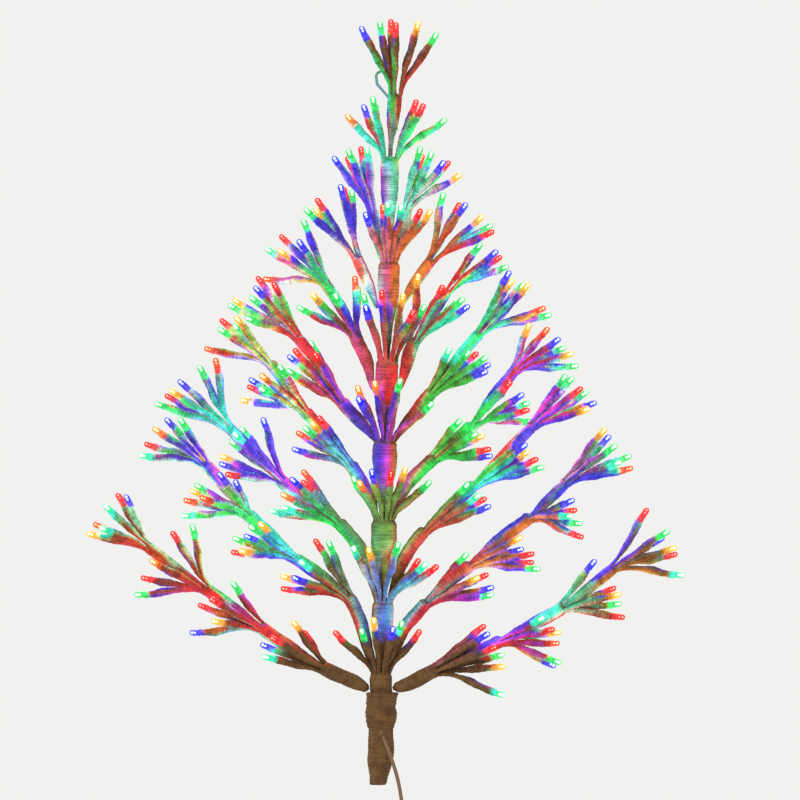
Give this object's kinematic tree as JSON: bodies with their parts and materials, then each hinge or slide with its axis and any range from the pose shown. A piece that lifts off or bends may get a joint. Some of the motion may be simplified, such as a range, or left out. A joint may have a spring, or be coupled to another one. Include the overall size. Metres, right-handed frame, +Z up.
{
  "type": "led wall christmas tree",
  "caption": "Flat-backed wall tree of wrapped wire branches that fork into curved twigs, each ending in a small coloured light, with a hanging loop and a low-voltage lead.",
  "frame": {"origin": "where a wall hook carries the hanging loop, on the loop's bearing line", "axes": "+X to the viewer's right, -Y out of the wall towards the viewer, +Z up along the trunk"},
  "size_m": [0.4758, 0.0555, 0.7292],
  "materials": {
    "wrap_paper": "crinkled brown crepe tape",
    "light_lens": "clear domed lens over a coloured light",
    "soft_wire": "annealed steel",
    "loop_wire": "brown coated wire",
    "sleeve_plastic": "matte",
    "lead_sheath": "brown flexible sheath",
    "tie_plastic": "matte",
    "plug_plastic": "moulded, matte",
    "plug_metal": "nickel plated"
  },
  "bodies": {
    "trunk": {"trunk_foot": "wrap_paper", "collar_wrap": "wrap_paper", "trunk_wrap": "wrap_paper", "trunk_wire": "soft_wire", "trunk_twigs": "wrap_paper", "trunk_lights": "light_lens", "hanging_loop": "loop_wire", "lead_sleeve": "sleeve_plastic", "lead": "lead_sheath", "lead_tie": "tie_plastic", "plug_body": "plug_plastic", "plug_barrel": "plug_metal"},
    "left_branch_1": {"left_branch_1_wrap": "wrap_paper", "left_branch_1_lights": "light_lens", "left_branch_1_wire": "soft_wire"},
    "right_branch_1": {"right_branch_1_wrap": "wrap_paper", "right_branch_1_lights": "light_lens", "right_branch_1_wire": "soft_wire"},
    "left_branch_2": {"left_branch_2_wrap": "wrap_paper", "left_branch_2_lights": "light_lens", "left_branch_2_wire": "soft_wire"},
    "right_branch_2": {"right_branch_2_wrap": "wrap_paper", "right_branch_2_lights": "light_lens", "right_branch_2_wire": "soft_wire"},
    "left_branch_3": {"left_branch_3_wrap": "wrap_paper", "left_branch_3_lights": "light_lens", "left_branch_3_wire": "soft_wire"},
    "right_branch_3": {"right_branch_3_wrap": "wrap_paper", "right_branch_3_lights": "light_lens", "right_branch_3_wire": "soft_wire"},
    "left_branch_4": {"left_branch_4_wrap": "wrap_paper", "left_branch_4_lights": "light_lens", "left_branch_4_wire": "soft_wire"},
    "right_branch_4": {"right_branch_4_wrap": "wrap_paper", "right_branch_4_lights": "light_lens", "right_branch_4_wire": "soft_wire"},
    "left_branch_5": {"left_branch_5_wrap": "wrap_paper", "left_branch_5_lights": "light_lens", "left_branch_5_wire": "soft_wire"},
    "right_branch_5": {"right_branch_5_wrap": "wrap_paper", "right_branch_5_lights": "light_lens", "right_branch_5_wire": "soft_wire"},
    "left_branch_6": {"left_branch_6_wrap": "wrap_paper", "left_branch_6_lights": "light_lens", "left_branch_6_wire": "soft_wire"},
    "right_branch_6": {"right_branch_6_wrap": "wrap_paper", "right_branch_6_lights": "light_lens", "right_branch_6_wire": "soft_wire"},
    "left_branch_7": {"left_branch_7_wrap": "wrap_paper", "left_branch_7_lights": "light_lens", "left_branch_7_wire": "soft_wire"},
    "right_branch_7": {"right_branch_7_wrap": "wrap_paper", "right_branch_7_lights": "light_lens", "right_branch_7_wire": "soft_wire"},
    "left_branch_8": {"left_branch_8_wrap": "wrap_paper", "left_branch_8_lights": "light_lens", "left_branch_8_wire": "soft_wire"},
    "right_branch_8": {"right_branch_8_wrap": "wrap_paper", "right_branch_8_lights": "light_lens", "right_branch_8_wire": "soft_wire"}
  },
  "joints": [
    {"name": "left_branch_1_bend", "type": "hinge", "parent": "trunk", "child": "left_branch_1", "pos_m": [-0.00077, -0.00423, -0.15353], "axis": [0.9805, 0, 0.1967], "range_deg": [0, 12]},
    {"name": "right_branch_1_bend", "type": "hinge", "parent": "trunk", "child": "right_branch_1", "pos_m": [0.00883, -0.00423, -0.15367], "axis": [0.9779, 0, -0.2091], "range_deg": [0, 8]},
    {"name": "left_branch_2_bend", "type": "hinge", "parent": "trunk", "child": "left_branch_2", "pos_m": [-0.00586, -0.00798, -0.18788], "axis": [0.9253, 0, 0.3792], "range_deg": [0, 9]},
    {"name": "right_branch_2_bend", "type": "hinge", "parent": "trunk", "child": "right_branch_2", "pos_m": [0.0127, -0.00798, -0.18788], "axis": [0.8252, 0, -0.5648], "range_deg": [0, 8]},
    {"name": "left_branch_3_bend", "type": "hinge", "parent": "trunk", "child": "left_branch_3", "pos_m": [-0.00897, -0.00798, -0.25343], "axis": [0.9142, 0, 0.4054], "range_deg": [0, 5]},
    {"name": "right_branch_3_bend", "type": "hinge", "parent": "trunk", "child": "right_branch_3", "pos_m": [0.01282, -0.00798, -0.25343], "axis": [0.9002, 0, -0.4356], "range_deg": [0, 12]},
    {"name": "left_branch_4_bend", "type": "hinge", "parent": "trunk", "child": "left_branch_4", "pos_m": [-0.0049, -0.00349, -0.2966], "axis": [0.7939, 0, 0.608], "range_deg": [0, 12]},
    {"name": "right_branch_4_bend", "type": "hinge", "parent": "trunk", "child": "right_branch_4", "pos_m": [0.00659, -0.00349, -0.29681], "axis": [0.781, 0, -0.6245], "range_deg": [0, 8]},
    {"name": "left_branch_5_bend", "type": "hinge", "parent": "trunk", "child": "left_branch_5", "pos_m": [-0.00603, -0.00324, -0.35979], "axis": [0.831, 0, 0.5563], "range_deg": [0, 12]},
    {"name": "right_branch_5_bend", "type": "hinge", "parent": "trunk", "child": "right_branch_5", "pos_m": [0.00609, -0.00324, -0.35994], "axis": [0.7762, 0, -0.6304], "range_deg": [0, 6]},
    {"name": "left_branch_6_bend", "type": "hinge", "parent": "trunk", "child": "left_branch_6", "pos_m": [-0.00556, -0.00423, -0.42453], "axis": [0.7638, 0, 0.6455], "range_deg": [0, 12]},
    {"name": "right_branch_6_bend", "type": "hinge", "parent": "trunk", "child": "right_branch_6", "pos_m": [0.00405, -0.00423, -0.42471], "axis": [0.7775, 0, -0.6289], "range_deg": [0, 8]},
    {"name": "left_branch_7_bend", "type": "hinge", "parent": "trunk", "child": "left_branch_7", "pos_m": [-0.00769, -0.00379, -0.48284], "axis": [0.7834, 0, 0.6216], "range_deg": [0, 12]},
    {"name": "right_branch_7_bend", "type": "hinge", "parent": "trunk", "child": "right_branch_7", "pos_m": [0.00302, -0.00379, -0.48313], "axis": [0.7374, 0, -0.6754], "range_deg": [0, 12]},
    {"name": "left_branch_8_bend", "type": "hinge", "parent": "trunk", "child": "left_branch_8", "pos_m": [-0.0156, -0.00798, -0.49217], "axis": [0.5455, 0, 0.8381], "range_deg": [0, 12]},
    {"name": "right_branch_8_bend", "type": "hinge", "parent": "trunk", "child": "right_branch_8", "pos_m": [0.0108, -0.00798, -0.49217], "axis": [0.484, 0, -0.8751], "range_deg": [0, 12]}
  ]
}
